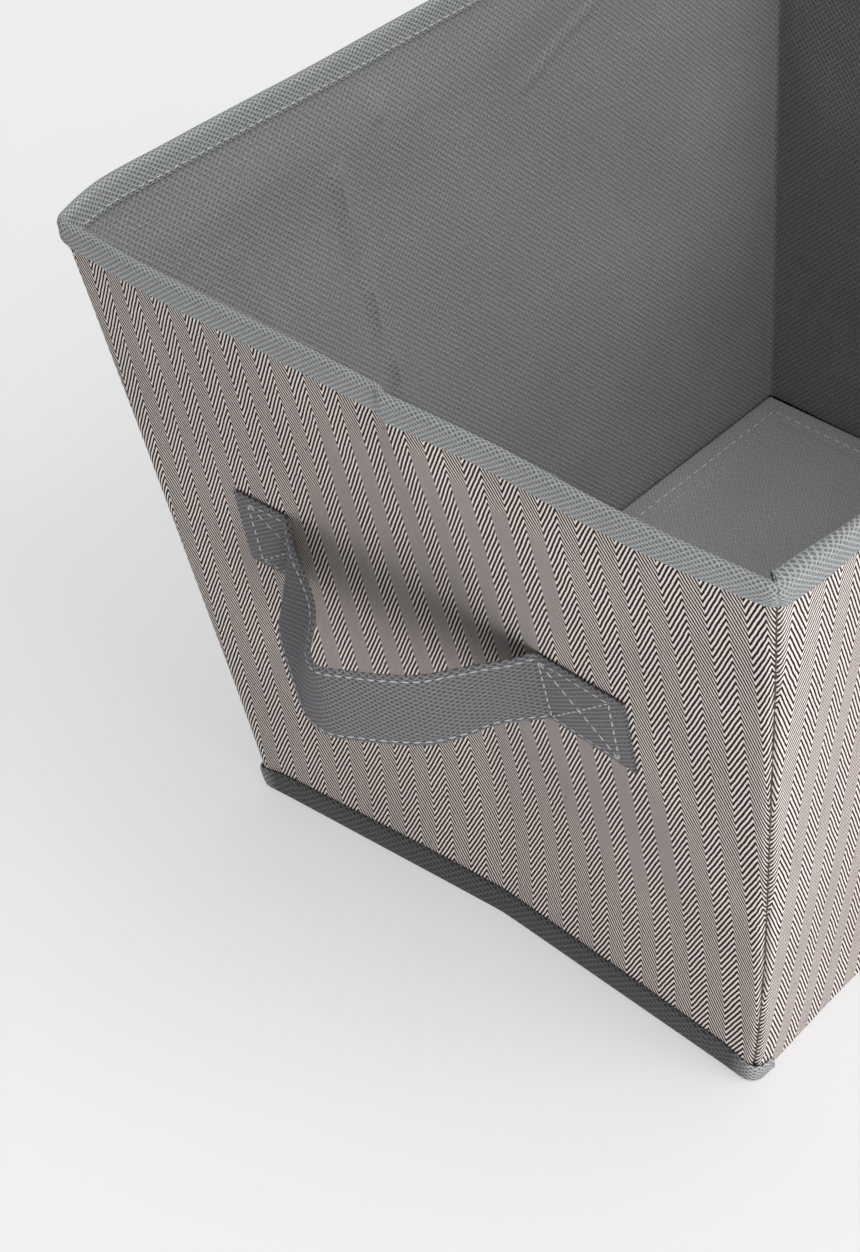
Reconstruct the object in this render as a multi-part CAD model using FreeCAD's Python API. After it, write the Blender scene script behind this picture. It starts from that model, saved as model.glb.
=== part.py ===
import FreeCAD, Part
import math
import os

# Collapsible fabric storage bin. Millimetres, +Z up, origin at the centre of the base on the floor.
# The ends face -Y (front) and +Y (back) and carry the handles; the long sides face -X and +X.
# Every wall is cloth over board over lining, and leans outwards from base to rim.

# overall size, outside the cloth
height = 250.0
base_width = 220.0
base_length = 300.0
top_width = 280.0
top_length = 370.0

# layers of a wall, from the outside in
cloth = 0.8
board = 2.0
lining = 0.6

# folded tape round the rim and round the foot of each end
binding = 1.0
rim_tape_outer = 12.5
rim_tape_inner = 10.0
foot_tape_outer = 12.0
foot_tape_inner = 5.0

# seams and folds
seam_width = 4.0          # bundle of cloth turned in at each corner
seam_gap = 0.2            # bundle to the thread on the long side's tape
corner_gap = 0.5          # bundle to the hinged half of an end
open_corner_gap = 1.2     # more room at the one corner where the folding loop is open
board_inset = 2.0         # board edge inside the edge of its cloth, which leaves the crease between boards
foot_gap = 0.6            # insert top to the foot of the walls that fold over it
turn_gap = 0.3            # between cloth edges that part when the bin folds

# removable base insert: board inside a sewn cover
insert_board = 2.0
insert_cover = 0.7
insert_clearance = 1.2
insert_hem = 8.0

# handles: a strap sewn down at each end, standing away from the wall between them
strap_width = 32.0
strap_thickness = 1.6
tab_length = 36.0
handle_span = 160.0       # over both tabs
handle_offset = -4.5      # middle of the handle from the crease
handle_height = 146.0     # middle of the strap above the floor
strap_standoff = 36.0     # furthest point from the wall
strap_apex = -13.0        # sideways place of that point, from the crease
strap_droop = 8.0
strap_gap = 0.4

# sewing thread
thread = 0.6
thread_proud = 0.3
rim_thread_margin = 2.0
tab_thread_margin = 3.0

slope_x = (top_width - base_width) / 2 / height
slope_y = (top_length - base_length) / 2 / height
stretch_x = math.hypot(1, slope_x)      # sideways step for one unit of depth through a long side
stretch_y = math.hypot(1, slope_y)      # and through an end
wall = cloth + board + lining
wall_top = height - binding
insert_bottom = cloth + lining + 0.1
insert_top = insert_bottom + insert_board + 2 * insert_cover
wall_foot = insert_top + foot_gap


def vector(x, y, z):
    return FreeCAD.Vector(x, y, z)


def polyhedron(rings):
    # closed solid with flat faces between two matching rings of points
    first, last = rings
    count = len(first)
    outlines = [first, last]
    for i in range(count):
        j = (i + 1) % count
        outlines.append([first[i], first[j], last[j], last[i]])
    faces = [Part.Face(Part.makePolygon(points + [points[0]])) for points in outlines]
    solid = Part.Solid(Part.Shell(faces))
    if solid.Volume < 0:
        solid.reverse()
    return solid


def box(low, high):
    size = [b - a for a, b in zip(low, high)]
    return Part.makeBox(*size, vector(*low))


def turned(shape):
    # the same piece at the opposite side of the bin
    copy = shape.copy()
    copy.rotate(vector(0, 0, 0), vector(0, 0, 1), 180)
    return copy


def end_point(depth, z, along):
    # a point of the front end, depth inwards from its outer face
    return vector(along, -(base_length / 2 + slope_y * z) + depth * stretch_y, z)


def side_point(depth, z, along):
    # a point of the left side
    return vector(-(base_width / 2 + slope_x * z) + depth * stretch_x, along, z)


def strip(point, section, start, stop):
    # section is a list of (depth, z), start and stop are functions of z
    return polyhedron([[point(d, z, limit(z)) for d, z in section] for limit in (start, stop)])


def layer(point, depth, thickness, bottom, top, start, stop):
    section = [(depth, bottom), (depth + thickness, bottom), (depth + thickness, top), (depth, top)]
    return strip(point, section, start, stop)


def channel(bottom, top, outer_leg, inner_leg, opens_down):
    # section of a tape folded over an edge of the wall
    edge, back = (top, top - binding) if opens_down else (bottom, bottom + binding)
    way = -1 if opens_down else 1
    outer_end = edge + way * outer_leg
    inner_end = edge + way * inner_leg
    return [(-binding, outer_end), (0, outer_end), (0, back), (wall, back),
            (wall, inner_end), (wall + binding, inner_end), (wall + binding, edge), (-binding, edge)]


def wall_layers(name, point, start, stop):
    # cloth, board and lining of one flat stretch of wall, with its rim tape and the thread through it
    def inside(limit, way):
        return lambda z: limit(z) + way * board_inset

    rim = channel(wall_top, height, rim_tape_outer, rim_tape_inner, True)
    thread_low = height - rim_tape_inner + rim_thread_margin
    return {
        f"outer_cloth_{name}": layer(point, 0, cloth, wall_foot, wall_top, start, stop),
        f"board_{name}": layer(point, cloth, board, wall_foot + board_inset, wall_top - board_inset,
                               inside(start, 1), inside(stop, -1)),
        f"lining_{name}": layer(point, cloth + board, lining, wall_foot, wall_top, start, stop),
        f"rim_binding_{name}": strip(point, rim, start, stop),
        f"rim_thread_{name}": layer(point, wall + binding, thread_proud, thread_low, thread_low + thread,
                                    inside(start, 1), inside(stop, -1)),
    }


def seam_line(z):
    # sideways place, on the front end, where the bundle begins beside the left side
    return -(base_width / 2 + slope_x * z) + (wall + binding + thread_proud) * stretch_x + seam_gap


def corner_seam():
    # bundle of turned-in cloth at the left corner of the front end
    return layer(end_point, 0, wall, wall_foot, wall_top, seam_line, lambda z: seam_line(z) + seam_width)


def end_half(name, extra_gap, mirrored):
    # one half of the front end; the right half is laid out on the left and mirrored over the crease
    start = lambda z: seam_line(z) + seam_width + corner_gap + extra_gap
    stop = lambda z: -turn_gap / 2
    pieces = wall_layers(name, end_point, start, stop)
    foot = channel(0, foot_tape_outer, foot_tape_outer, foot_tape_inner, False)
    pieces[f"foot_binding_{name}"] = strip(end_point, foot, start, stop)
    if mirrored:
        pieces = {node: shape.mirror(vector(0, 0, 0), vector(1, 0, 0)) for node, shape in pieces.items()}
    return pieces


def on_end(shape):
    # from a flat layout, with x sideways, -y outwards and z up the slope from the handle's middle
    copy = shape.copy()
    copy.rotate(vector(0, 0, 0), vector(1, 0, 0), math.degrees(math.atan(slope_y)))
    copy.translate(end_point(0, handle_height, 0))
    return copy


def bar(start, stop, face):
    # straight row of thread between two points (along, up) of a tab's face
    dx, dz = stop[0] - start[0], stop[1] - start[1]
    row = box((0, face - thread_proud, -thread / 2), (math.hypot(dx, dz), face, thread / 2))
    row.rotate(vector(0, 0, 0), vector(0, 1, 0), -math.degrees(math.atan2(dz, dx)))
    row.translate(vector(start[0], 0, start[1]))
    return row


def handle_half(name, way):
    # way is -1 for the tab on the left of the crease and 1 for the one on the right
    outer = handle_offset + way * handle_span / 2
    inner = outer - way * tab_length
    low, high = min(outer, inner), max(outer, inner)
    tab = box((low, -strap_thickness, -strap_width / 2), (high, 0, strap_width / 2))

    left, right = low + tab_thread_margin, high - tab_thread_margin
    rise = strap_width / 2 - tab_thread_margin
    corners = [(left, -rise), (right, -rise), (right, rise), (left, rise)]
    rows = [bar(corners[i], corners[(i + 1) % 4], -strap_thickness) for i in range(4)]
    rows += [bar(corners[i], corners[i + 2], -strap_thickness) for i in range(2)]
    sewing = rows[0].multiFuse(rows[1:]).removeSplitter()

    start = inner - way * strap_gap
    stop = strap_apex + way * strap_gap / 2
    run = abs(stop - start)
    reach = strap_standoff - strap_thickness
    deep = strap_thickness * math.hypot(1, reach / run)     # thickness measured square to the wall
    rings = []
    for up in (-strap_width / 2, strap_width / 2):
        ring = [(start, -strap_gap, 0), (stop, deep - strap_standoff, -strap_droop),
                (stop, -strap_standoff, -strap_droop), (start, -strap_gap - deep, 0)]
        rings.append([vector(x, y, z + up) for x, y, z in ring])
    strap = polyhedron(rings)
    return {
        f"handle_tab_{name}": on_end(tab),
        f"tab_thread_{name}": on_end(sewing),
        f"handle_strap_{name}": on_end(strap),
    }


def base_pieces():
    # cloth tray with its two long edges turned up to the long sides, and the lining laid in it
    inner_end = base_length / 2 - (wall + binding) * stretch_y - turn_gap
    half = base_width / 2

    def turned_up(top):
        section = [(0, cloth), (cloth, cloth), (cloth, top), (0, top)]
        return strip(side_point, section, lambda z: -inner_end, lambda z: inner_end)

    floor = box((-half, -inner_end, 0), (half, inner_end, cloth))
    left_edge = turned_up(wall_foot)
    right_edge = turned(turned_up(wall_foot - turn_gap))
    inside = half - cloth * stretch_x
    return {
        "base_cloth": floor.multiFuse([left_edge, right_edge]).removeSplitter(),
        "base_lining": box((-inside, -inner_end, cloth), (inside, inner_end, cloth + lining)),
    }


def insert_pieces():
    half_x = base_width / 2 - wall * stretch_x - insert_clearance
    half_y = base_length / 2 - (wall + binding) * stretch_y - insert_clearance
    low, high = insert_bottom, insert_top
    core = box((-half_x + insert_cover, -half_y + insert_cover, low + insert_cover),
               (half_x - insert_cover, half_y - insert_cover, high - insert_cover))
    cover = box((-half_x, -half_y, low), (half_x, half_y, high)).cut(core)

    x, y = half_x - insert_hem, half_y - insert_hem
    ring = box((-x, -y, high), (x, y, high + thread_proud))
    hole = box((-x + thread, -y + thread, high - 1), (x - thread, y - thread, high + 1))
    return {"insert_board": core, "insert_cover": cover, "insert_thread": ring.cut(hole)}


def bin_pieces():
    whole_side = lambda way: (lambda z: way * (base_length / 2 + slope_y * z))
    left = wall_layers("left", side_point, whole_side(-1), whole_side(1))
    pieces = dict(left)
    pieces.update({node.replace("left", "right"): turned(shape) for node, shape in left.items()})

    seam = corner_seam()
    seam_right = seam.mirror(vector(0, 0, 0), vector(1, 0, 0))
    pieces["corner_seam_front_left"] = seam
    pieces["corner_seam_front_right"] = seam_right
    pieces["corner_seam_back_right"] = turned(seam)
    pieces["corner_seam_back_left"] = turned(seam_right)

    # the back end is the front end turned half round, so its left is the front's right
    pieces.update(end_half("front_left", 0, False))
    pieces.update(end_half("front_right", 0, True))
    back = {**end_half("back_right", open_corner_gap, False), **end_half("back_left", 0, True)}
    back.update(handle_half("back_right", -1))
    back.update(handle_half("back_left", 1))
    pieces.update({node: turned(shape) for node, shape in back.items()})
    pieces.update(handle_half("front_left", -1))
    pieces.update(handle_half("front_right", 1))

    pieces.update(base_pieces())
    pieces.update(insert_pieces())
    return pieces


def main():
    os.makedirs("parts", exist_ok=True)
    pieces = bin_pieces()
    for node, shape in sorted(pieces.items()):
        if not shape.isValid() or shape.Volume <= 0:
            raise ValueError(f"{node} is not a sound solid")
        shape.exportStep(f"parts/{node}.step")
    print(len(pieces), "nodes")


main()
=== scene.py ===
import bpy
import bmesh
import math
from mathutils import Matrix, Vector, noise


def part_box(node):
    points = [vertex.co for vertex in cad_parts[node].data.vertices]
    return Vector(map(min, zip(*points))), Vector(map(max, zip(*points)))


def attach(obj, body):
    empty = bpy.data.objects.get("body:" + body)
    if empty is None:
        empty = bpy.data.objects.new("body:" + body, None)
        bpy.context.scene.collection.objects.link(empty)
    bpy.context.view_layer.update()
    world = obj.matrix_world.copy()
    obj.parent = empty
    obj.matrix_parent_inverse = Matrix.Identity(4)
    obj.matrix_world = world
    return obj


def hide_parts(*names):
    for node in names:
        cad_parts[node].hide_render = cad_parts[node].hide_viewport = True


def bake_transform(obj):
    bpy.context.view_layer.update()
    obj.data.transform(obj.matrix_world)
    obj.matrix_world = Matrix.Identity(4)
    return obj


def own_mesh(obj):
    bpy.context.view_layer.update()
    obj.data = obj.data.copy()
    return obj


# Collapsible cloth storage bin: herringbone outside, dimpled lining inside, taped rim, strap handles.
# Lengths in the dictionaries are millimetres, places in the bin's own frame.
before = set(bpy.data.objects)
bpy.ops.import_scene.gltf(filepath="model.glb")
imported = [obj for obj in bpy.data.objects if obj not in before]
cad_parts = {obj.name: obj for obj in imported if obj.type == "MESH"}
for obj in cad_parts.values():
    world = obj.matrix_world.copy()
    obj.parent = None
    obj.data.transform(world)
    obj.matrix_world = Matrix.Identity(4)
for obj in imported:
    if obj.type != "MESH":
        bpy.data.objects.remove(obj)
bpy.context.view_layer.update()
mm = 0.001

binSize = {
    "height": 250.0, "baseWidth": 220.0, "baseLength": 300.0, "topWidth": 280.0, "topLength": 370.0,
    "cloth": 0.8, "board": 2.0, "lining": 0.6, "tape": 1.0,
    # height, radius the outside cloth takes round a corner
    "cornerRound": [(0, 4.5), (40, 5.0), (215, 4.6), (245, 3.6)],
    "creaseStrip": 10.0,     # half width of the pieces that bend at the middle of an end
    "wallFoot": 5.5,         # where board and lining begin above the floor
    "boardShort": 4.5,       # the boards stop this far from a corner seam
    "rimPinch": 0.42,        # how much thinner the wall is where the tape grips it
}
wallTop = binSize["height"] - binSize["tape"]
wallDepth = binSize["cloth"] + binSize["board"] + binSize["lining"]
slopeX = (binSize["topWidth"] - binSize["baseWidth"]) / 2 / binSize["height"]
slopeY = (binSize["topLength"] - binSize["baseLength"]) / 2 / binSize["height"]
stretchX, stretchY = math.hypot(1, slopeX), math.hypot(1, slopeY)
endSign = {"front": -1, "back": 1}
sideSign = {"left": -1, "right": 1}
facing = {"front": Vector((0, -1, 0)), "back": Vector((0, 1, 0)), "left": Vector((-1, 0, 0)),
        "right": Vector((1, 0, 0))}


def smoothStep(t):
    t = min(max(t, 0.0), 1.0)
    return t * t * (3 - 2 * t)


def curveAt(stations, t):
    # smooth curve through (place, value, value ...) rows, level beyond the ends
    if t <= stations[0][0]:
        row = stations[0][1:]
    elif t >= stations[-1][0]:
        row = stations[-1][1:]
    else:
        i = max(k for k in range(len(stations) - 1) if stations[k][0] <= t)
        before, a, b, after = (stations[min(max(k, 0), len(stations) - 1)] for k in (i - 1, i, i + 1, i + 2))
        h = b[0] - a[0]
        u = (t - a[0]) / h
        row = []
        for k in range(1, len(a)):
            m1 = (b[k] - before[k]) / (b[0] - before[0]) * h
            m2 = (after[k] - a[k]) / (after[0] - a[0]) * h
            row.append((2 * u ** 3 - 3 * u ** 2 + 1) * a[k] + (u ** 3 - 2 * u ** 2 + u) * m1
                       + (3 * u ** 2 - 2 * u ** 3) * b[k] + (u ** 3 - u ** 2) * m2)
    return row[0] if len(row) == 1 else row


# how the limp walls stand out of true, the same for every layer
slackShape = {
    "frontDent": [(0, 6.5), (20, 9), (55, 12.5), (88, 11.5), (130, 8), (177, 3.5), (206, 1), (228, -1.6),
            (250, -2.6)],
    "backDent": [(0, 2.5), (60, 5.5), (120, 5), (190, 1.5), (250, -1.5)],
    # bow of a long side's rim, from the front corner (-1) to the back corner (1)
    "leftBow": [(-1, 0.3), (-0.93, 4.0), (-0.86, 5.8), (-0.72, 4.1), (-0.47, 1.1), (-0.2, -0.9), (0.1, -3.4),
            (0.5, -3), (1, 0)],
    "rightBow": [(-1, 0), (-0.6, 0.8), (0, -1.5), (0.5, -2), (1, 0)],
    "bowFade": [(0, 0), (110, 0.06), (180, 0.35), (250, 1)],
    "cornerBulge": [(0, 2.4), (20, 3.8), (60, 4.6), (100, 4.2), (150, 3.2), (210, 2.0), (250, 0.6)],
    "bulgeReach": 38.0,
    "foldRound": 0.022,      # how blunt the middle fold is
    "rimBow": 1.6,
    "ripple": 0.55, "rippleSize": 62.0,
}


def halfX(z):
    return binSize["baseWidth"] / 2 + slopeX * z


def halfY(z):
    return binSize["baseLength"] / 2 + slopeY * z


def slack(x, y, z):
    # moves a true point of the bin to where the limp wall really is
    s = slackShape
    hx, hy = halfX(z), halfY(z)
    across, along = min(abs(x) / hx, 1.0), min(abs(y) / hy, 1.0)
    fold = 1.0 - math.sqrt(across * across + s["foldRound"] ** 2) / math.sqrt(1 + s["foldRound"] ** 2)
    dent = curveAt(s["frontDent"] if y < 0 else s["backDent"], z)
    dy = (dent if y < 0 else -dent) * fold * smoothStep((along - 0.45) / 0.45)
    if y < 0 < x and z > 180:                    # the right half's rim bows out a little
        dy -= s["rimBow"] * math.sin(math.pi * min(max((across - 0.3) / 0.7, 0),
                1)) * smoothStep((z - 180) / 60) * smoothStep((along - 0.8) / 0.15)
    if y < 0 and z > 200:                       # the right half's rim stands a little proud of the left's
        dy += 1.1 * math.tanh(-(x + 2) / 1.6) * math.exp(-abs(x + 2) / 16) * smoothStep((z
                - 200) / 45) * smoothStep((along - 0.8) / 0.15)
    bow = curveAt(s["leftBow"] if x < 0 else s["rightBow"], max(min(y / hy, 1), -1)) * curveAt(s["bowFade"], z)
    if x > 0:
        bow += curveAt(s["cornerBulge"], z) * math.exp(-((y + hy) / s["bulgeReach"]) ** 2)
    dx = (bow if x >= 0 else -bow) * across ** 2
    grain = noise.noise(Vector((x, y, z)) / s["rippleSize"]) * s["ripple"] * min(z / 40, 1)
    edge = 1 - max(smoothStep((across - 0.9) * 10) * smoothStep((along - 0.9) * 10), 0)
    if along > across:
        dy += grain * edge * 2
    else:
        dx += grain * edge * 2
    return Vector((x + dx, y + dy, z))


def pinched(depth, z):
    return depth * (1 - binSize["rimPinch"] * smoothStep((z - 215) / 30)) if depth > 0 else depth


def layerHalf(wall, z, depth):
    depth = pinched(depth, z)
    return halfX(z) - depth * stretchX if wall in endSign else halfY(z) - depth * stretchY


def wallPoint(wall, along, z, depth, groove=0.0):
    # a point of a wall: along it, at a height, and depth inwards from its outside
    isEnd = wall in endSign
    sign = (endSign if isEnd else sideSign)[wall]
    reach = layerHalf(wall, z, depth)
    depth = pinched(depth, z)
    w = max(reach - abs(along), 0.0)
    r = max(curveAt(binSize["cornerRound"], z) - depth, 0.7)
    e, d = w, 0.0
    if w < r:
        turn = math.radians(45) * (1 - w / r)
        e, d = r * (1 - math.sin(turn)), r * (1 - math.cos(turn))
    if groove:
        pull = 0.7071 * groove * math.exp(-(w / 1.15) ** 1.5)
        pull += 0.13 * groove * math.exp(-w / 2.6) * (1
                + math.cos(2 * math.pi * z / 3.3 + 0.6 * noise.noise(Vector((z / 9, 0, 1)))))
        e, d = e + pull, d + pull
    side = math.copysign(reach - e, along)
    face = sign * ((halfY(z) - depth * stretchY if isEnd else halfX(z) - depth * stretchX) - d)
    return slack(side, face, z) if isEnd else slack(face, side, z)


def cornerSteps(reach=118.0, coarse=5.0):
    # distances from a corner, close together near it, given as shares of the reach
    steps, w, gap = [], 0.0, 0.45
    while w < reach - coarse / 2:
        steps.append(1 - w / reach)
        w += gap
        gap = min(gap * 1.16, coarse)
    return sorted(steps + [0.0])


def heights(low, high, step):
    count = max(int(round((high - low) / step)), 1)
    return [low + (high - low) * k / count for k in range(count + 1)]


def settle(obj):
    # takes the modifiers into the mesh
    bpy.context.view_layer.update()
    graph = bpy.context.evaluated_depsgraph_get()
    mesh = bpy.data.meshes.new_from_object(obj.evaluated_get(graph), preserve_all_data_layers=True,
            depsgraph=graph)
    obj.modifiers.clear()
    old = obj.data
    obj.data = mesh
    bpy.data.meshes.remove(old)
    mesh.name = obj.name
    bm = bmesh.new()
    bm.from_mesh(mesh)
    bmesh.ops.recalc_face_normals(bm, faces=bm.faces)
    for v in bm.verts:
        v.co.z = max(v.co.z, 0.00005)            # nothing sinks into the floor
    bm.to_mesh(mesh)
    bm.free()
    smoothFaces(obj)
    return obj


def smoothFaces(obj, angle=50):
    for face in obj.data.polygons:
        face.use_smooth = True
    obj.data.set_sharp_from_angle(angle=math.radians(angle))


def meshObject(name, bm, material):
    mesh = bpy.data.meshes.new(name)
    bm.to_mesh(mesh)
    bm.free()
    obj = bpy.data.objects.new(name, mesh)
    bpy.context.scene.collection.objects.link(obj)
    mesh.materials.append(material)
    return obj


def makeBand(name, columns, rows, place, outside, thickness, material, roundEdge=0.0, offset=-1.0):
    # a grid laid on the wall by place(column, row), turned to face outside and given its thickness
    nx, ny = len(columns) - 1, len(rows) - 1
    bm = bmesh.new()
    bmesh.ops.create_grid(bm, x_segments=nx, y_segments=ny, size=1)
    uvLayer = bm.loops.layers.uv.new("weave")
    flat, start = {}, None
    for v in bm.verts:
        i, j = round((v.co.x + 1) / 2 * nx), round((v.co.y + 1) / 2 * ny)
        point, uv = place(columns[i], rows[j])
        v.co = point * mm
        flat[v] = Vector(uv) * mm
        if i == nx // 2 and j == ny // 4:
            start = v
    for face in bm.faces:
        for loop in face.loops:
            loop[uvLayer].uv = flat[loop.vert]
    bm.normal_update()
    if start.normal.dot(outside) < 0:
        bmesh.ops.reverse_faces(bm, faces=bm.faces)
    obj = meshObject(name, bm, material)
    solid = obj.modifiers.new("thickness", "SOLIDIFY")
    solid.thickness, solid.offset, solid.use_even_offset = thickness * mm, offset, False
    if roundEdge:
        bevel = obj.modifiers.new("edge", "BEVEL")
        bevel.width, bevel.segments, bevel.profile = roundEdge * mm, 2, 0.5
        bevel.limit_method, bevel.angle_limit = "ANGLE", math.radians(50)
    return settle(obj)


print("shapes ready")

# finishes

def mathNode(tree, operation, *values, clamp=False):
    node = tree.nodes.new("ShaderNodeMath")
    node.operation, node.use_clamp = operation, clamp
    for k, value in enumerate(values):
        if isinstance(value, (int, float)):
            node.inputs[k].default_value = value
        else:
            tree.links.new(value, node.inputs[k])
    return node.outputs[0]


def times(tree, a, b, **more):
    return mathNode(tree, "MULTIPLY", a, b, **more)


def plus(tree, a, b, **more):
    return mathNode(tree, "ADD", a, b, **more)


def minus(tree, a, b, **more):
    return mathNode(tree, "SUBTRACT", a, b, **more)


def divided(tree, a, b, **more):
    return mathNode(tree, "DIVIDE", a, b, **more)


def blendColour(tree, factor, first, second, mode="MIX"):
    node = tree.nodes.new("ShaderNodeMix")
    node.data_type, node.blend_type = "RGBA", mode
    for socket, value in ((node.inputs[0], factor), (node.inputs[6], first), (node.inputs[7], second)):
        if isinstance(value, (int, float)):
            socket.default_value = value
        elif isinstance(value, tuple):
            socket.default_value = (*value, 1)
        else:
            tree.links.new(value, socket)
    return node.outputs[2]


def noiseNode(tree, vector, scale, detail=2.0, rough=0.5, squeeze=None):
    if squeeze:
        fit = tree.nodes.new("ShaderNodeMapping")
        fit.inputs["Scale"].default_value = squeeze
        tree.links.new(vector, fit.inputs["Vector"])
        vector = fit.outputs[0]
    node = tree.nodes.new("ShaderNodeTexNoise")
    node.inputs["Scale"].default_value = scale
    node.inputs["Detail"].default_value = detail
    node.inputs["Roughness"].default_value = rough
    tree.links.new(vector, node.inputs["Vector"])
    return node.outputs[0]


def newFinish(name, roughness, sheen=0.0, specular=0.25):
    material = bpy.data.materials.new(name)
    material.use_nodes = True
    shader = material.node_tree.nodes["Principled BSDF"]
    shader.inputs["Roughness"].default_value = roughness
    shader.inputs["Sheen Weight"].default_value = sheen
    shader.inputs["Sheen Roughness"].default_value = 0.5
    shader.inputs["Specular IOR Level"].default_value = specular
    return material, material.node_tree, shader


def patternPlace(tree):
    # the piece's own flat cloth layout in millimetres, and its place in the bin
    uvNode = tree.nodes.new("ShaderNodeUVMap")
    uvNode.uv_map = "weave"
    scaled = tree.nodes.new("ShaderNodeVectorMath")
    scaled.operation = "SCALE"
    scaled.inputs["Scale"].default_value = 1000.0
    tree.links.new(uvNode.outputs[0], scaled.inputs[0])
    parts = tree.nodes.new("ShaderNodeSeparateXYZ")
    tree.links.new(scaled.outputs[0], parts.inputs[0])
    coords = tree.nodes.new("ShaderNodeTexCoord")
    return scaled.outputs[0], parts.outputs[0], parts.outputs[1], coords.outputs["Object"]


def bumpNode(tree, shader, height, distance, strength=1.0):
    node = tree.nodes.new("ShaderNodeBump")
    node.inputs["Distance"].default_value = distance
    node.inputs["Strength"].default_value = strength
    tree.links.new(height, node.inputs["Height"])
    tree.links.new(node.outputs[0], shader.inputs["Normal"])


herringbone = {
    "column": 7.07,          # width of one column of the weave
    "warpYarn": 0.3535, "weftYarn": 0.725,
    # the column shade darkens every other column of the weave: painted shade for columns whose yarns catch less
    # of the light
    "dark": (0.016, 0.012, 0.0115), "pale": (0.93, 0.80, 0.75), "paleShare": 0.475, "paintedColumnShade": 0.87,
    "slub": 0.13, "wobble": 0.3, "stepShare": 0.55,
}


def herringboneFinish(name, options):
    material, tree, shader = newFinish(name, 0.88, 0.0, 0.08)
    flat, u, v, place = patternPlace(tree)
    drift = minus(tree, noiseNode(tree, flat, 0.16, 3), 0.5)
    u = plus(tree, u, times(tree, drift, options["wobble"] * 2))
    shiver = minus(tree, noiseNode(tree, flat, 0.7, 2), 0.5)
    v = plus(tree, v, times(tree, shiver, options["wobble"] * 1.6))
    # yarns counted out from the middle of each column and back
    tri = mathNode(tree, "PINGPONG", plus(tree, u, 700 * options["column"]), options["column"])
    warpRun = divided(tree, tri, options["warpYarn"])
    weftRun = divided(tree, plus(tree, v, 500 * options["weftYarn"]), options["weftYarn"])
    warpCount, weftCount = mathNode(tree, "FLOOR", warpRun), mathNode(tree, "FLOOR", weftRun)
    # the stepped twill of the weave, eased towards its straight diagonal
    stepped = minus(tree, weftCount, warpCount)
    straight = minus(tree, weftRun, warpRun)
    eased = plus(tree, times(tree, stepped, options["stepShare"]),
            times(tree, straight, 1 - options["stepShare"]))
    turn = mathNode(tree, "FLOORED_MODULO", plus(tree, eased, 0.1), 4.0)
    turn = mathNode(tree, "ABSOLUTE", minus(tree, turn, 2.0))
    warpUp = plus(tree, times(tree, minus(tree, turn, options["paleShare"] * 2), 3.5), 0.5, clamp=True)
    # dark warp over pale weft, with uneven yarns
    slub = noiseNode(tree, flat, 1.0, 3, 0.6, (0.35, 1.6, 1))
    fleck = noiseNode(tree, flat, 1.0, 2, 0.6, (2.6, 0.5, 1))
    paleTone = blendColour(tree, slub, tuple(c * (1 - options["slub"] * 1.8) for c in options["pale"]),
                           tuple(min(c * (1 + options["slub"]), 1) for c in options["pale"]))
    darkTone = blendColour(tree, fleck, tuple(c * 0.5 for c in options["dark"]),
            tuple(c * 2.2 for c in options["dark"]))
    colour = blendColour(tree, warpUp, paleTone, darkTone)
    # painted shade: every other column darkened by the column shade, standing in for yarns that lean away from
    # the light
    lean = mathNode(tree, "FLOORED_MODULO", mathNode(tree, "FLOOR", divided(tree, u, options["column"])), 2.0)
    colour = blendColour(tree, 1.0, colour, plus(tree, times(tree, lean, options["paintedColumnShade"] - 1), 1.0),
            "MULTIPLY")
    cloud = noiseNode(tree, place, 26, 3)
    shade = plus(tree, times(tree, cloud, 0.26), 0.87)
    colour = blendColour(tree, 1.0, colour, shade, "MULTIPLY")
    knot = mathNode(tree, "GREATER_THAN", noiseNode(tree, flat, 0.55, 1, 0.5, (1, 0.8, 1)), 0.775)
    colour = blendColour(tree, times(tree, knot, 0.75), colour, (0.015, 0.012, 0.011))
    tree.links.new(colour, shader.inputs["Base Color"])
    tree.links.new(plus(tree, times(tree, slub, 0.2), 0.76), shader.inputs["Roughness"])
    # rounded yarns standing over and under each other
    warpRound = mathNode(tree, "SINE", times(tree, mathNode(tree, "FRACT", warpRun), math.pi))
    weftRound = mathNode(tree, "SINE", times(tree, mathNode(tree, "FRACT", weftRun), math.pi))
    over = times(tree, warpUp, warpRound)
    under = times(tree, minus(tree, 1.0, warpUp), weftRound)
    height = plus(tree, times(tree, over, 0.7), plus(tree, under, times(tree, slub, 0.6)))
    bumpNode(tree, shader, height, 0.00016, 0.8)
    return material


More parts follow.
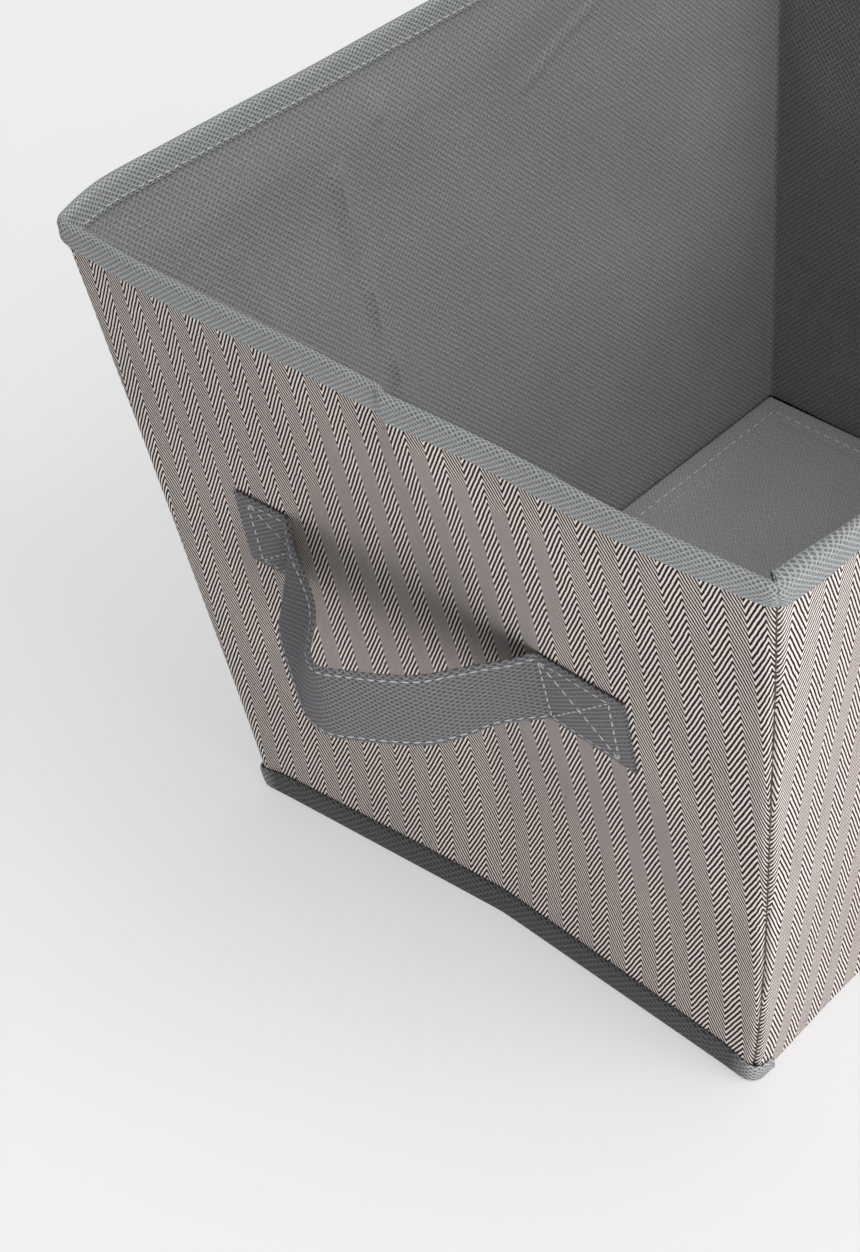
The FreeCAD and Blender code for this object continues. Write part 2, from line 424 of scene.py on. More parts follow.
def dimpledFinish(name, options):
    # spun cloth pressed with a staggered grid of small pits
    material, tree, shader = newFinish(name, options["rough"], options["sheen"], 0.3)
    flat, u, v, place = patternPlace(tree)
    upWay, downWay = divided(tree, u, options["across"]), divided(tree, v, options["up"])
    rib = [mathNode(tree, "ABSOLUTE", mathNode(tree, "SINE",
            times(tree, mathNode(tree, way, upWay, downWay), math.pi))) for way in ("ADD", "SUBTRACT")]
    pit = minus(tree, mathNode(tree, "MINIMUM", rib[0], rib[1]), options["pitEdge"])
    pit = times(tree, pit, 1.5 / (1 - options["pitEdge"]), clamp=True)
    fibre = noiseNode(tree, flat, 1.0, 4, 0.65, (1.9, 0.8, 1))
    fibre = plus(tree, times(tree, minus(tree, fibre, 0.5), 2.4), 0.5, clamp=True)
    fibreFine = noiseNode(tree, flat, 3.4, 3, 0.6, (0.6, 2.2, 1))
    cloud = noiseNode(tree, place, options["cloudScale"], 4, 0.55)
    base = options["colour"]
    colour = blendColour(tree, fibre, tuple(c * (1 - options["mottle"]) for c in base),
            tuple(c * (1 + options["mottle"]) for c in base))
    colour = blendColour(tree, 1.0, colour, plus(tree, times(tree, cloud, options["cloud"]),
            1 - options["cloud"] / 2), "MULTIPLY")
    colour = blendColour(tree, times(tree, pit, options["pitShade"], clamp=True), colour,
            tuple(c * options["pitTone"] for c in base))
    if "cornerHighlight" in options:                        # painted highlight: paler where the tape turns round the corner into the side light
        start, stop, tone = options["cornerHighlight"]
        reach = divided(tree, minus(tree, mathNode(tree, "ABSOLUTE", u), start), stop - start, clamp=True)
        highlightMask = times(tree, reach, minus(tree, 1.0, times(tree, pit, 0.75)))
        colour = blendColour(tree, highlightMask, colour, tone)
    tree.links.new(colour, shader.inputs["Base Color"])
    tree.links.new(plus(tree, times(tree, fibreFine, 0.25), options["rough"] - 0.12),
            shader.inputs["Roughness"])
    height = minus(tree, plus(tree, times(tree, fibre, 0.35), times(tree, fibreFine, 0.25)), pit)
    bumpNode(tree, shader, height, options["pitDepth"], 0.9)
    return material


def threadFinish(name, colour):
    material, tree, shader = newFinish(name, 0.55, 0.2, 0.4)
    coords = tree.nodes.new("ShaderNodeTexCoord")
    twist = tree.nodes.new("ShaderNodeTexWave")
    twist.bands_direction = "DIAGONAL"
    twist.inputs["Scale"].default_value = 1400
    twist.inputs["Distortion"].default_value = 1.5
    tree.links.new(coords.outputs["Object"], twist.inputs["Vector"])
    tone = blendColour(tree, twist.outputs["Fac"], tuple(c * 0.72 for c in colour),
            tuple(min(c * 1.15, 1) for c in colour))
    tree.links.new(tone, shader.inputs["Base Color"])
    bumpNode(tree, shader, twist.outputs["Fac"], 0.00006, 0.7)
    return material


def boardFinish(name):
    material, tree, shader = newFinish(name, 0.9)
    coords = tree.nodes.new("ShaderNodeTexCoord")
    pulp = noiseNode(tree, coords.outputs["Object"], 900, 5, 0.7)
    tone = blendColour(tree, pulp, (0.30, 0.26, 0.21), (0.52, 0.47, 0.40))
    tree.links.new(tone, shader.inputs["Base Color"])
    bumpNode(tree, shader, pulp, 0.0001, 0.6)
    return material


liningCloth = {"colour": (0.285, 0.282, 0.296), "across": 2.45, "up": 2.52, "pitEdge": 0.32,
        "pitDepth": 0.00022, "pitShade": 0.62, "pitTone": 0.5,
               "mottle": 0.42, "cloud": 0.3, "cloudScale": 14, "rough": 0.85, "sheen": 0.05}
rimTapeCloth = {"colour": (0.395, 0.412, 0.42), "across": 2.3, "up": 1.9, "pitEdge": 0.34,
        "pitDepth": 0.00035, "pitShade": 0.75, "pitTone": 0.24,
                "mottle": 0.34, "cloud": 0.2, "cloudScale": 30, "rough": 0.8, "sheen": 0.08}
# the paler corner tone of the foot tape is a painted highlight where the tape turns round the corners
footTapeCloth = {"colour": (0.098, 0.098, 0.102), "across": 3.1, "up": 2.6, "pitEdge": 0.2,
        "pitDepth": 0.0003, "pitShade": 0.95, "pitTone": 0.3,
                 "mottle": 0.25, "cloud": 0.15, "cloudScale": 30, "rough": 0.75, "sheen": 0.05, "cornerHighlight": (100,
                         110, (0.52, 0.52, 0.54))}
strapCloth = {"colour": (0.235, 0.23, 0.245), "across": 2.6, "up": 1.9, "pitEdge": 0.2, "pitDepth": 0.00035,
        "pitShade": 0.95, "pitTone": 0.33,
              "mottle": 0.25, "cloud": 0.12, "cloudScale": 30, "rough": 0.82, "sheen": 0.06}
baseClothLook = dict(liningCloth, colour=(0.08, 0.08, 0.085))
insertLook = dict(liningCloth, colour=(0.31, 0.305, 0.318), cloudScale=24, pitTone=0.66, across=1.9, up=1.9)

# lit and shaded copies of one cloth: the ends keep the painted column shade, the long sides are painted
# lighter, with no column shade and a larger pale share, for the side light
shadedEndFinish = herringboneFinish("herringboneEndsShaded", herringbone)
litSideFinish = herringboneFinish("herringboneSidesLit", dict(herringbone, paintedColumnShade=1.02, paleShare=0.5))
liningFinish = dimpledFinish("liningCloth", liningCloth)
rimFinish = dimpledFinish("rimTape", rimTapeCloth)
footFinish = dimpledFinish("footTape", footTapeCloth)
strapFinish = dimpledFinish("strapCloth", strapCloth)
baseFinish = dimpledFinish("baseCloth", baseClothLook)
insertFinish = dimpledFinish("insertCloth", insertLook)
paleThread = threadFinish("sewingThread", (0.56, 0.57, 0.60))
greyThread = threadFinish("rimThread", (0.5, 0.52, 0.54))
# near-black finish for the corner seam bundles: painted shade of the corner groove
grooveShadeFinish = threadFinish("cornerGrooveShade", (0.05, 0.043, 0.04))
chipBoard = boardFinish("chipBoard")
print("finishes ready")

# stitches

def sewRow(name, path, normals, pitch, size, material):
    # small low-count thread loops set end to end along a path; size is length, width, height
    bm = bmesh.new()
    total, marks = 0.0, [0.0]
    for a, b in zip(path, path[1:]):
        total += (b - a).length
        marks.append(total)
    count = max(int(total / pitch), 1)
    k = 0
    for n in range(count):
        s = (n + 0.5) * total / count
        while k < len(marks) - 2 and marks[k + 1] < s:
            k += 1
        share = (s - marks[k]) / max(marks[k + 1] - marks[k], 1e-9)
        along = (path[k + 1] - path[k]).normalized()
        up = normals[k].lerp(normals[k + 1], share)
        up = (up - along * up.dot(along)).normalized()
        cross = up.cross(along)
        spot = path[k].lerp(path[k + 1], share) + up * size[2] * 0.15
        swing = noise.noise(Vector((s * 0.7, total, 3.1))) * 0.12
        along, cross = (along + cross * swing).normalized(), (cross - along * swing).normalized()
        turn = Matrix((along, cross, up)).transposed().to_4x4()
        place = Matrix.Translation(spot * mm) @ turn @ Matrix.Diagonal((size[0] / 2 * mm, size[1] / 2 * mm,
                size[2] / 2 * mm, 1))
        bmesh.ops.create_uvsphere(bm, u_segments=6, v_segments=5, radius=1,
                matrix=place @ Matrix.Rotation(math.pi / 2, 4, "Y"))
    obj = meshObject(name, bm, material)
    for face in obj.data.polygons:
        face.use_smooth = True
    return obj


def mergePieces(name, objects):
    # joins finished meshes into one piece
    bm = bmesh.new()
    for obj in objects:
        bm.from_mesh(obj.data)
    material = objects[0].data.materials[0]
    for obj in objects:
        mesh = obj.data
        bpy.data.objects.remove(obj)
        bpy.data.meshes.remove(mesh)
    joined = meshObject(name, bm, material)
    smoothFaces(joined, 80)
    return joined


# wall layers

layers = {"cloth": (0, 0.8), "board": (1.0, 1.05), "lining": (3.4, 0.55)}     # depth in the wall, thickness
strip = binSize["creaseStrip"]
endColumns = cornerSteps()
sideColumns = sorted({round(way * t, 6) for way in (-1, 1) for t in cornerSteps(165, 3.5)})
creaseColumns = heights(-strip, strip, 1.0)
clothPanel = {"seamPull": 1.4, "rowStep": 1.9, "footTurn": [(2.4, 0.1), (1.1, 0.15), (0.35, 0.6), (0.0, 1.5)]}
liningPanel = {
    "rowStep": 2.4, "billow": 1.1, "billowSize": 44.0,
    # creases pressed into the left wall's lining: (height, width, points along and up the wall)
    "creases": [(2.0, 1.7, [(-70, 212), (-67, 185), (-61, 145), (-54, 108)]),
            (1.2, 1.4, [(-46, 244), (-47, 222)]),
                (1.0, 1.6, [(25, 200), (42, 208), (66, 216)]), (0.6, 2.6,
                        [(-120, 205), (-100, 150), (-92, 90)])],
}


def layPanel(name, wall, half, depth, thickness, rows, outside, material, pull=0.0, extra=None, short=0.0):
    # half is -1 or 1 for one half of an end, 0 for its middle strip, None for a whole long side
    columns = creaseColumns if half == 0 else (sideColumns if half is None else endColumns)

    def place(t, row):
        inwards, z = row
        deep = depth + inwards
        reach = layerHalf(wall, z, deep) - short
        if half == 0:
            along = t
        elif half is None:
            along = t * reach
        else:
            along = half * (strip + (reach - strip) * t)
        point = wallPoint(wall, along, z, deep, pull)
        if extra:
            point = point + extra(along, z)
        # the weave is drawn down into the seam
        bend = 2.2 * math.exp(-(reach - abs(along)) / 4.5) if pull else 0
        return point, (along, z * (stretchY if wall in endSign else stretchX) + bend)

    return makeBand(name, columns, rows, place, outside, thickness, material)


def distanceTo(points, a, b):
    best = 1e9
    for p, q in zip(points, points[1:]):
        p, q, here = Vector(p), Vector(q), Vector((a, b))
        share = min(max((here - p).dot(q - p) / (q - p).length_squared, 0), 1)
        best = min(best, (here - p.lerp(q, share)).length)
    return best


def liningBillow(wall):
    inwards = -facing[wall]

    def extra(along, z):
        fade = smoothStep((wallTop - 8 - z) / 20) * smoothStep((z - 6) / 30)
        near = layerHalf(wall, z, wallDepth) - abs(along)
        fade *= smoothStep(near / 25)
        if wall in endSign:
            fade *= smoothStep((abs(along) - strip) / 20)
        lift = (0.5 + noise.noise(Vector((along, z,
                7.0 * ord(wall[0]))) / liningPanel["billowSize"])) * liningPanel["billow"] * fade
        if wall == "left":
            for height, width, points in liningPanel["creases"]:
                gap = distanceTo(points, along, z) / width
                if gap < 4:
                    lift += height * (math.exp(-gap * gap) - 0.35 * math.exp(-(gap - 1.6) ** 2))
        return inwards * max(lift, 0)

    return extra


def cornerBlend(piece, end, side):
    # an end's piece at a corner: the back right one goes on its half, the others stay fixed where they lie
    if (end, side) == ("back", "right"):
        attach(piece, "back_right_half")     # the folding loop is open here
        return
    sx, sy = sideSign[side], endSign[end]
    line = Vector((sx * slopeX, sy * slopeY, 1)).normalized()
    way = Vector((-sx, 0, 0))
    way = (way - line * way.dot(line)).normalized()
    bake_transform(piece)


def creaseBlend(piece):
    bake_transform(piece)


clothRows = [(0, z) for z in heights(binSize["wallFoot"] + 0.2, wallTop - 0.2, clothPanel["rowStep"])]
sideRows = clothPanel["footTurn"] + [(0, z) for z in heights(3.0, wallTop - 0.2, clothPanel["rowStep"])]
boardRows = [(0, z) for z in heights(binSize["wallFoot"] + 2, wallTop - 2, 12)]
liningRows = [(0, z) for z in heights(binSize["wallFoot"] - 2.2, wallTop - 0.4, liningPanel["rowStep"])]
foot, top = binSize["wallFoot"], wallTop

for end in endSign:
    out, into = facing[end], -facing[end]
    for side, way in sideSign.items():
        key = f"{end}_{side}"
        low, high = halfX(foot) - strip, halfX(top) - strip
        cloth = layPanel(f"outerCloth_{key}", end, way, *layers["cloth"], clothRows, out, shadedEndFinish,
                clothPanel["seamPull"])
        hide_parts(f"outer_cloth_{key}")
        cornerBlend(cloth, end, side)
        lining = layPanel(f"innerCloth_{key}", end, way, *layers["lining"], liningRows, into, liningFinish, 0,
                liningBillow(end))
        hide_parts(f"lining_{key}")
        cornerBlend(lining, end, side)
        board = layPanel(f"stiffener_{key}", end, way, *layers["board"], boardRows, out, chipBoard,
                short=binSize["boardShort"])
        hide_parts(f"board_{key}")
        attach(board, f"{key}_half")
    cloth = layPanel(f"outerCloth_{end}_crease", end, 0, *layers["cloth"], clothRows, out, shadedEndFinish)
    creaseBlend(cloth)
    lining = layPanel(f"innerCloth_{end}_crease", end, 0, *layers["lining"], liningRows, into, liningFinish)
    creaseBlend(lining)
for side in sideSign:
    out, into = facing[side], -facing[side]
    body = side + "_side"
    low, high = 2 * halfY(foot), 2 * halfY(top)
    cloth = layPanel(f"outerCloth_{side}", side, None, *layers["cloth"], sideRows, out, litSideFinish,
            clothPanel["seamPull"])
    lining = layPanel(f"innerCloth_{side}", side, None, *layers["lining"], liningRows, into, liningFinish, 0,
            liningBillow(side))
    board = layPanel(f"stiffener_{side}", side, None, *layers["board"], boardRows, out, chipBoard,
            short=binSize["boardShort"])
    for piece, node, slotName in ((cloth, "outer_cloth_", "herringbone"), (lining, "lining_", "lining"),
            (board, "board_", "board")):
        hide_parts(node + side)
        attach(piece, body)
print("walls ready")

# seam bundle in each corner, with its puckers, painted near black as the shade in the corner groove
seamBundle = {"radius": 0.5, "pucker": 3.3, "ruffle": 0.22, "sunk": -0.32}
for end, sy in endSign.items():
    for side, sx in sideSign.items():
        def place(turn, z):
            corner = wallPoint(end, sx * layerHalf(end, z, 0), z, 0, clothPanel["seamPull"])
            swell = 1 + seamBundle["ruffle"] * math.cos(2 * math.pi * z / seamBundle["pucker"] + 1.2)
            r = seamBundle["radius"] * swell
            diagonal = Vector((sx, sy, 0)).normalized()
            tangent = Vector((-diagonal.y, diagonal.x, 0))
            middle = corner - diagonal * (seamBundle["radius"] + seamBundle["sunk"])
            return middle + diagonal * r * math.cos(turn) + tangent * r * 0.9 * math.sin(turn), (turn * 2, z)
        bundle = makeBand(f"cornerSeam_{end}_{side}", heights(-1.6, 1.6, 0.4),
                heights(foot + 1, top - 8, 1.1), place, Vector((sx, sy, 0)), 0.3, grooveShadeFinish)
        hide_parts(f"corner_seam_{end}_{side}")
        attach(bundle, side + "_side")
print("seams ready")

# tape folded over the rim: depth from the outside of the cloth and height
rimTape = {
    "thickness": 0.8,
    "section": [(-0.2, 239.3), (-0.75, 239.6), (-1.0, 240.6), (-1.1, 242.4), (-1.1, 244.6), (-1.0, 246.8),
            (-0.82, 248.1),
                (-0.25, 249.2), (0.65, 249.85), (1.7, 250.0), (2.8, 249.85), (3.7, 249.2), (4.25,
                        248.1), (4.42, 246.5),
                (4.5, 244), (4.5, 241.8), (4.35, 240.6), (3.6, 240.1)],
    # spare tape folded in at the front right corner
    "pucker": 0.4, "wave": 0.22, "cornerLift": 2.2, "foldOver": 6.5, "foldOverReach": 24.0,
}
rimLengths = [0.0]
for (d1, z1), (d2, z2) in zip(rimTape["section"], rimTape["section"][1:]):
    rimLengths.append(rimLengths[-1] + math.hypot(d2 - d1, z2 - z1))
rimRows = list(zip(rimTape["section"], rimLengths))


def rimPoint(wall, along, depth, z):
    near = layerHalf(wall, z, depth) - abs(along)
    swell = noise.noise(Vector((along / 14, z / 9, ord(wall[0])))) * rimTape["wave"]
    swell += rimTape["pucker"] * math.exp(-(near / 9) ** 2) * math.cos(near * 1.7) * math.cos(z * 0.35)
    loose = smoothStep((246 - z) / 6)           # how free the tape's lower edge is
    lift = (0.35 * noise.noise(Vector((along / 22, 4.0,
            ord(wall[0])))) + rimTape["cornerLift"] * math.exp(-max(near, 0) / 9)) * loose if depth < 1 else 0
    if depth > 1.7:
        swell = -swell
    swell *= smoothStep((249.6 - z) / 3 + 0.15)
    if wall == "right":
        swell -= rimTape["foldOver"] * smoothStep((depth - 0.3) / 3) * math.exp(-(max(along + halfY(z) - 8,
                0) / rimTape["foldOverReach"]) ** 2)
    return wallPoint(wall, along, z + lift, depth - swell)


for wall in (*endSign, *sideSign):
    parts = (-1, 0, 1) if wall in endSign else (None,)
    for half in parts:
        sideName = {-1: "left", 1: "right", 0: "crease"}.get(half)
        key = wall if half is None else f"{wall}_{sideName}"

        def place(t, row):
            (depth, z), run = row
            reach = layerHalf(wall, z, depth)
            along = t if half == 0 else (t * reach if half is None else half * (strip + (reach - strip) * t))
            return rimPoint(wall, along, depth, z), (along, run)
        columns = creaseColumns if half == 0 else (sideColumns if half is None else sorted(endColumns + [0.02,
                0.06, 0.1]))
        tape = makeBand(f"rimTape_{key}", columns, rimRows, place, facing[wall], rimTape["thickness"],
                rimFinish)

        # the row of thread that holds the tape, inside the rim
        z = 242.2
        reach = layerHalf(wall, z, 4.5)
        start, stop = {-1: (-reach + 7, -strip), 1: (strip, reach - 7), 0: (-strip, strip),
                None: (-reach + 7, reach - 7)}[half]
        marks = heights(start, stop, 2.5)
        path = [rimPoint(wall, a, 4.55, z + 0.3 * noise.noise(Vector((a / 30, 1, 1)))) for a in marks]
        row = sewRow(f"rimStitch_{key}", path, [-facing[wall]] * len(path), 3.6, (2.7, 0.62, 0.5), greyThread)
        if half == 0:
            creaseBlend(tape)
            creaseBlend(row)
            continue
        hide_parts(f"rim_binding_{key}")
        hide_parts(f"rim_thread_{key}")
        if half is None:
            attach(tape, wall + "_side")
            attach(row, wall + "_side")
        else:
            cornerBlend(tape, wall, sideName)
            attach(row, f"{key}_half")
print("rim ready")

# tape folded under the foot of each end, its ends brought round the corners
footTape = {
    "thickness": 0.7, "wrap": 11.0, "cornerStart": 3.0,
    "section": [(-0.2, 12.4), (-0.85, 12.0), (-1.15, 10.6), (-1.25, 7), (-1.2, 3.5), (-1.0, 1.4),
            (-0.3, 0.45), (0.8, 0.15), (2.4, 0.1), (4.2, 0.1)],
}
footLengths = [0.0]
for (d1, z1), (d2, z2) in zip(footTape["section"], footTape["section"][1:]):
    footLengths.append(footLengths[-1] + math.hypot(d2 - d1, z2 - z1))
footRows = list(zip(footTape["section"], footLengths))


def footPoint(end, side, a, depth, z):
    # a runs from the crease to the corner and on round it
    reach = layerHalf(end, 0, 0)
    share = smoothStep((a - reach + 16) / 22)
    tall = 1 - 0.33 * share + 0.05 * math.sin(math.pi * min(abs(a) / reach, 1))
    past = (a - reach) / footTape["wrap"]
    if past > 0.55:
        tall *= math.sqrt(max(1 - ((past - 0.55) / 0.47) ** 2, 0.02))
    z = z * tall
    inner = min(depth, 0.3) if past > 0 else depth
    if a <= reach:
        half = layerHalf(end, z, inner)
        return wallPoint(end, side * half * (a / reach) if reach - a < 20 else side * a, z,
                inner - 0.25 * share)
    half = layerHalf("right", z, inner)
    return wallPoint("right" if side > 0 else "left", endSign[end] * (half - (a - reach)), z,
            inner - 0.25 * share)


def creaseOnFoot(end, x, depth, z):
    return wallPoint(end, x, z * (1 + 0.05 * math.sin(math.pi * min(abs(x) / 110, 1))), depth)


for end in endSign:
    for side, way in sideSign.items():
        key = f"{end}_{side}"
        reach = layerHalf(end, 0, 0)

        def place(a, row):
            (depth, z), run = row
            return footPoint(end, way, a, depth, z), (a, run)
        main = heights(strip, reach - footTape["cornerStart"], 3.0)
        tape = makeBand(f"footTape_{key}", main, footRows, place, facing[end], footTape["thickness"],
                footFinish)
        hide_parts(f"foot_binding_{key}")
        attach(tape, f"{key}_half")
        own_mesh(tape)
        wrap = heights(reach - footTape["cornerStart"], reach + footTape["wrap"], 0.55)
        corner = makeBand(f"footTapeCorner_{key}", wrap, footRows, place, facing[end] + facing[side] * 0.2,
                footTape["thickness"], footFinish)
        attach(corner, side + "_side")

    def place(x, row):
        (depth, z), run = row
        return creaseOnFoot(end, x, depth, z), (x, run)
    tape = makeBand(f"footTape_{end}_crease", creaseColumns, footRows, place, facing[end],
            footTape["thickness"], footFinish)
    creaseBlend(tape)
print("foot tape ready")

# cloth tray and the lining laid in it: lowest point, thickness, gap to the walls
floorCloths = {"baseTray": ("base_cloth", 0.1, 0.7, 1.0), "baseLining": ("base_lining", 0.85, 0.5, 1.6),
        "endGap": 1.2}


def layFloor(name, low, thickness, inset, material):
    def place(tx, ty):
        x, y = tx * (halfX(0) - inset), ty * (halfY(0) - inset - floorCloths["endGap"])
        return slack(x, y, low), (x, y)
    shares = [k / 20 for k in range(-20, 21)]
    return makeBand(name, shares, shares, place, Vector((0, 0, 1)), thickness, material, offset=1.0)


for name, material in (("baseTray", baseFinish), ("baseLining", liningFinish)):
    node, low, thickness, inset = floorCloths[name]
    floorCloth = layFloor(name, low, thickness, inset, material)
    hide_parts(node)
    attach(floorCloth, "left_side")
    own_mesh(floorCloth)

# lift-out insert: board in a sewn sleeve with a stitched hem
insertShape = {"hem": 12.0, "hemLift": 0.45, "seamIn": 8.0, "frontGap": 5.5, "edgeRound": 1.1,
        "stitch": (3.4, 0.8, 0.6), "pitch": 4.8}
lowCorner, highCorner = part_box("insert_cover")
lowCorner, highCorner = Vector(lowCorner) / mm, Vector(highCorner) / mm
lowCorner.y += insertShape["frontGap"]


def insertSlab(name, grow, hemWidth, hemLift, material, cuts):
    low, high = lowCorner - Vector((1, 1, 1)) * grow, highCorner + Vector((1, 1, 1)) * grow
    size, middle = high - low, (low + high) / 2
    bm = bmesh.new()
    bmesh.ops.create_cube(bm, size=1, matrix=Matrix.Translation(middle * mm) @ Matrix.Diagonal((size.x * mm,
            size.y * mm, size.z * mm, 1)), calc_uvs=True)
    if hemWidth:
        topFace = [f for f in bm.faces if f.normal.z > 0.9]
        bmesh.ops.inset_region(bm, faces=topFace, thickness=hemWidth * mm, depth=0, use_even_offset=True)
        centre = min((f for f in bm.faces if f.normal.z > 0.9),
                key=lambda f: (f.calc_center_median() - middle * mm).length)
        bmesh.ops.inset_region(bm, faces=[centre], thickness=0.5 * mm, depth=-hemLift * mm,
                use_even_offset=True)
    edges = [e for e in bm.edges if len(e.link_faces) == 2 and e.calc_face_angle(0) > 0.6]
    bmesh.ops.bevel(bm, geom=edges, offset=insertShape["edgeRound"] * mm, affect="EDGES", segments=3,
            profile=0.5, material=-1)
    long = [e for e in bm.edges if e.calc_length() > 20 * mm]
    bmesh.ops.subdivide_edges(bm, edges=long, cuts=cuts, use_grid_fill=True)
    for v in bm.verts:
        if v.co.z > (high.z - 1.2) * mm:
            inset = min(v.co.x - low.x * mm, high.x * mm - v.co.x, v.co.y - low.y * mm,
                    high.y * mm - v.co.y) / mm
            v.co.z += 0.35 * mm * noise.noise(v.co * 22) * smoothStep(inset / 14)
    bmesh.ops.recalc_face_normals(bm, faces=bm.faces)
    uvLayer = bm.loops.layers.uv.get("weave") or bm.loops.layers.uv.new("weave")
    for face in bm.faces:
        for loop in face.loops:
            loop[uvLayer].uv = (loop.vert.co.x + loop.vert.co.z, loop.vert.co.y + loop.vert.co.z)
    obj = meshObject(name, bm, material)
    smoothFaces(obj)
    return obj


cover = insertSlab("insertSleeve", 0, insertShape["hem"], insertShape["hemLift"], insertFinish, 24)
core = insertSlab("insertStiffener", -0.7, 0, 0, chipBoard, 4)
s = insertShape["seamIn"]
z = highCorner.z + 0.15
left, right, near, far = lowCorner.x + s, highCorner.x - s, lowCorner.y + s, highCorner.y - s
rows = []
for k, (a, b) in enumerate((((left, near), (right, near)), ((right, near), (right, far)),
        ((right, far), (left, far)), ((left, far), (left, near)))):
    a, b = Vector((*a, z)), Vector((*b, z))
    path = [a.lerp(b, t / 12) for t in range(13)]
    rows.append(sewRow(f"insertStitch{k}", path, [Vector((0, 0, 1))] * 13, insertShape["pitch"],
            insertShape["stitch"], paleThread))
seam = mergePieces("insertStitches", rows)
for piece, node, slotName in ((cover, "insert_cover", "insert_cover"), (core, "insert_board", "board"),
        (seam, "insert_thread", "thread")):
    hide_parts(node)
    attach(piece, "base_insert")
print("insert ready")

# strap handles: each station is its share, place along the end, distance out from the wall, height,
# and the top edge's lean along the end and tuck towards the wall
handleShape = {
    "width": 32.0, "thickness": 1.5, "middleHeight": 146.0, "leftTab": (-84.5, -63.0), "rightTab": (41.0,
            75.5), "apexShare": 0.515,
    "stations": [(0.0, -63.0, 0.8, 146.0, 0.02, 0.0), (0.05, -58.5, 6.5, 145.4, 0.12, 0.14),
            (0.11, -53.0, 12.5, 144.4, 0.19, 0.26),
                 (0.19, -46.0, 17.4, 142.9, 0.24, 0.33), (0.27, -38.6, 22.2, 141.4, 0.25, 0.35), (0.34, -32.0,
                         27.0, 140.1, 0.22, 0.31),
                 (0.4, -26.0, 32.6, 138.9, 0.14, 0.24), (0.46, -20.0, 37.4, 138.2, 0.05, 0.13), (0.52, -12.0,
                         39.7, 138.6, 0.0, 0.03),
                 (0.6, -2.0, 36.5, 140.2, 0.0, 0.02), (0.69, 7.9, 31.6, 141.0, 0.0, 0.01), (0.77, 17.0, 25.4,
                         141.5, 0.0, 0.0),
                 (0.84, 24.0, 17.8, 142.9, 0.02, -0.03), (0.9, 30.0, 10.6, 144.6, 0.07, -0.08), (0.95, 35.6,
                         5.6, 145.4, 0.07, -0.06),
                 (1.0, 41.0, 0.8, 146.0, 0.0, 0.0)],
    "endShare": 0.22,        # the stretch next to a tab, a piece of its own that stays in place apart from the handle's middle
    "stitch": (2.5, 0.62, 0.5), "pitch": 3.4, "stitchIn": 2.2,
}


def strapPoint(end, share, up, lift=0.0):
    # up runs from -1 at the lower edge to 1 at the upper, lift is off the strap's outer face
    x, outwards, z, lean, tuck = curveAt(handleShape["stations"], share)
    ahead = curveAt(handleShape["stations"], min(share + 0.01, 1))
    behind = curveAt(handleShape["stations"], max(share - 0.01, 0))
    reach = up * handleShape["width"] / 2
    edge = Vector((lean, tuck, 1)).normalized() * reach      # along, towards the wall, up
    run = Vector((ahead[0] - behind[0], -(ahead[1] - behind[1]), ahead[2] - behind[2])).normalized()
    face = run.cross(Vector((lean, tuck, 1)).normalized()).normalized()
    if face.y > 0 or (abs(face.y) < 0.05 and face.x > 0):
        face = -face
    cup = 0.5 * (1 - up * up) * math.sin(math.pi * share)
    flat = Vector((x, -outwards, z)) + edge + face * (lift + cup)
    px, pz = flat.x, flat.z
    hold = math.exp(-max(outwards - 0.8, 0) / 7)
    wall = -(binSize["baseLength"] / 2 + slopeY * pz)
    moved = slack(px, wall, pz)
    point = Vector((px, wall + flat.y + (moved.y - wall) * hold, pz))
    if end == "back":
        # the far handle is this one turned half round, on its own wall
        point.y = wall + flat.y
        backMove = slack(-px, -wall, pz).y + wall
        return Vector((-px, -point.y + backMove * hold, pz))
    return point


def tabPoint(end, x, up, lift):
    z = handleShape["middleHeight"] + up * handleShape["width"] / 2
    wall = wallPoint(end, x if end == "front" else -x, z, -lift)
    return wall


def strapSection():
    # once round the folded strap: across it from edge to edge, and off its middle layer
    half = handleShape["thickness"] / 2
    face = [-1, -0.955, -0.9, -0.86, -0.82, -0.7, -0.45, -0.15, 0.15, 0.45, 0.7, 0.82, 0.86, 0.9, 0.955, 1]
    loop = []
    for side, ups in ((1, face), (-1, face[::-1])):
        for up in ups:
            dip = 0.22 * math.exp(-((abs(up) - 0.86) * 16 / 0.8) ** 2)
            roundOff = math.sqrt(max(1 - max(abs(up) - 0.955, 0) ** 2 / 0.045 ** 2 * (1 - 0.1),
                    0)) if abs(up) > 0.955 else 1
            loop.append((up, side * (half * roundOff - dip)))
    return loop + loop[:1]


def makeStrap(name, columns, place):
    # a closed flat tube, its long edges rounded
    loop = strapSection()
    nx, ny = len(columns) - 1, len(loop) - 1
    bm = bmesh.new()
    bmesh.ops.create_grid(bm, x_segments=nx, y_segments=ny, size=1)
    uvLayer = bm.loops.layers.uv.new("weave")
    flat = {}
    for v in bm.verts:
        i, j = round((v.co.x + 1) / 2 * nx), round((v.co.y + 1) / 2 * ny)
        point, uv = place(columns[i], *loop[j])
        v.co = point * mm
        flat[v] = Vector(uv) * mm
    for face in bm.faces:
        for loopCorner in face.loops:
            loopCorner[uvLayer].uv = flat[loopCorner.vert]
    bmesh.ops.remove_doubles(bm, verts=bm.verts, dist=0.00001)
    bmesh.ops.holes_fill(bm, edges=[e for e in bm.edges if e.is_boundary], sides=0)
    bmesh.ops.recalc_face_normals(bm, faces=bm.faces)
    obj = meshObject(name, bm, strapFinish)
    smoothFaces(obj, 65)
    return obj


